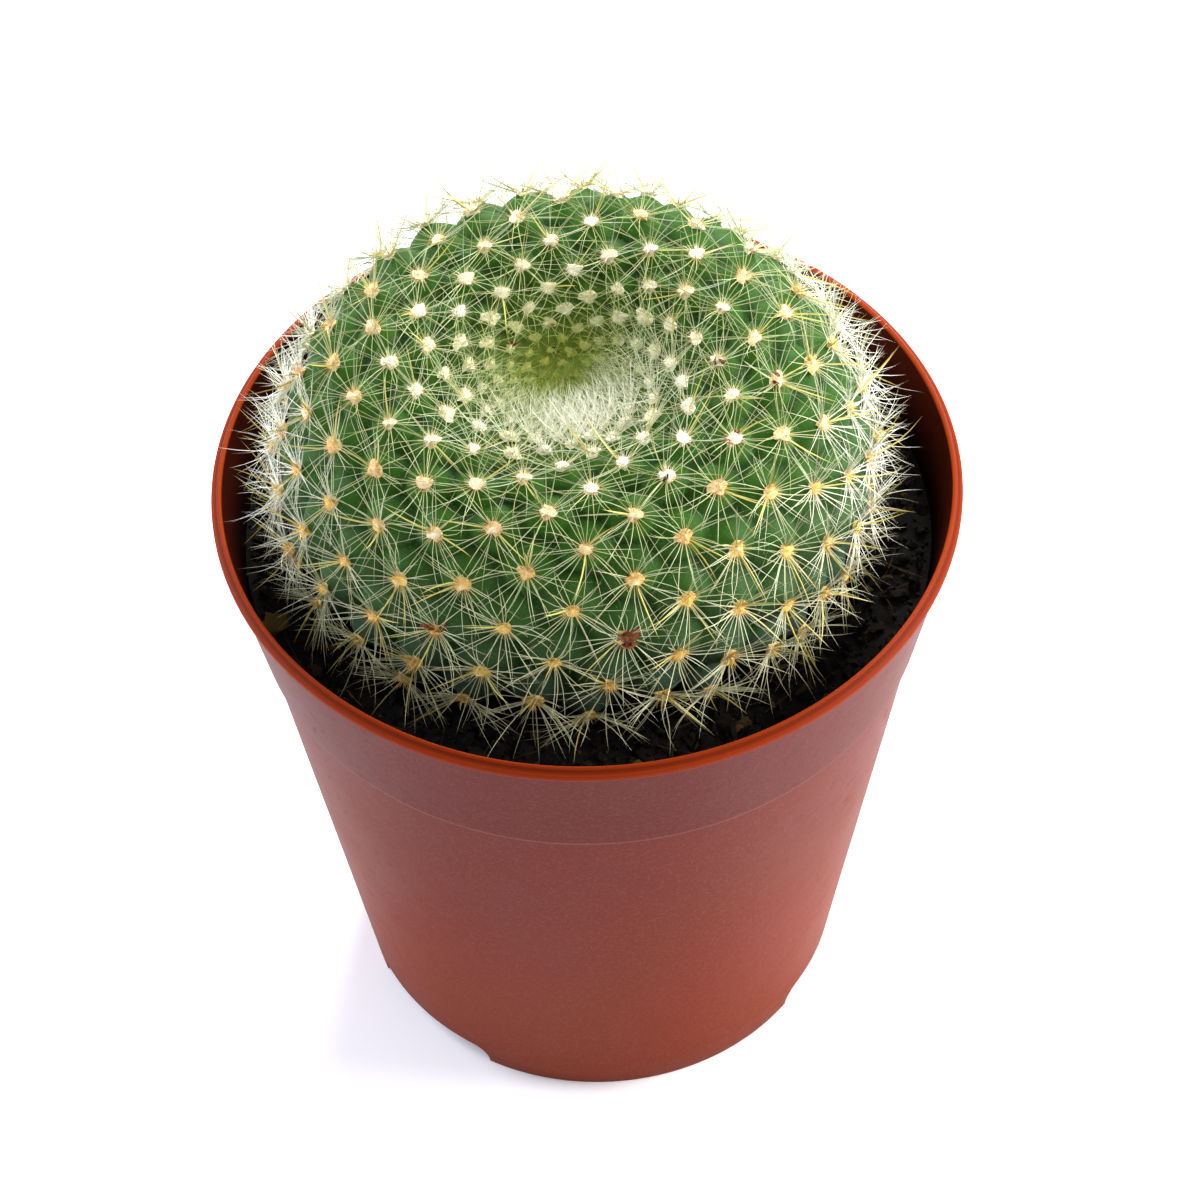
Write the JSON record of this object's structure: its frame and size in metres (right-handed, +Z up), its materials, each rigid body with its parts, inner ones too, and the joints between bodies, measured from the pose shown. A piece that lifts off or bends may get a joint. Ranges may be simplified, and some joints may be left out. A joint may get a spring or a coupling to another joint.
{
  "type": "potted round cactus",
  "caption": "Small round cactus with spiral rows of woolly, spiny tubercles and a sunken crown, standing in dark soil in a round tapered plastic pot with a collar.",
  "frame": {"origin": "centre of the circle that the pot's foot stands on", "axes": "+Z up along the pot's axis; -Y is the plant's front, towards which it leans"},
  "size_m": [0.085, 0.085, 0.1165],
  "materials": {
    "pot_plastic": "moulded terracotta-coloured plastic, satin, with a brighter orange lip",
    "peat_soil": "near-black brown peat, lumpy and matt",
    "cactus_skin": "satin green skin with cream wool tufts and straw-coloured to golden spines"
  },
  "bodies": {
    "root": {"pot": "pot_plastic", "soil": "peat_soil", "cactus": "cactus_skin"}
  },
  "joints": []
}
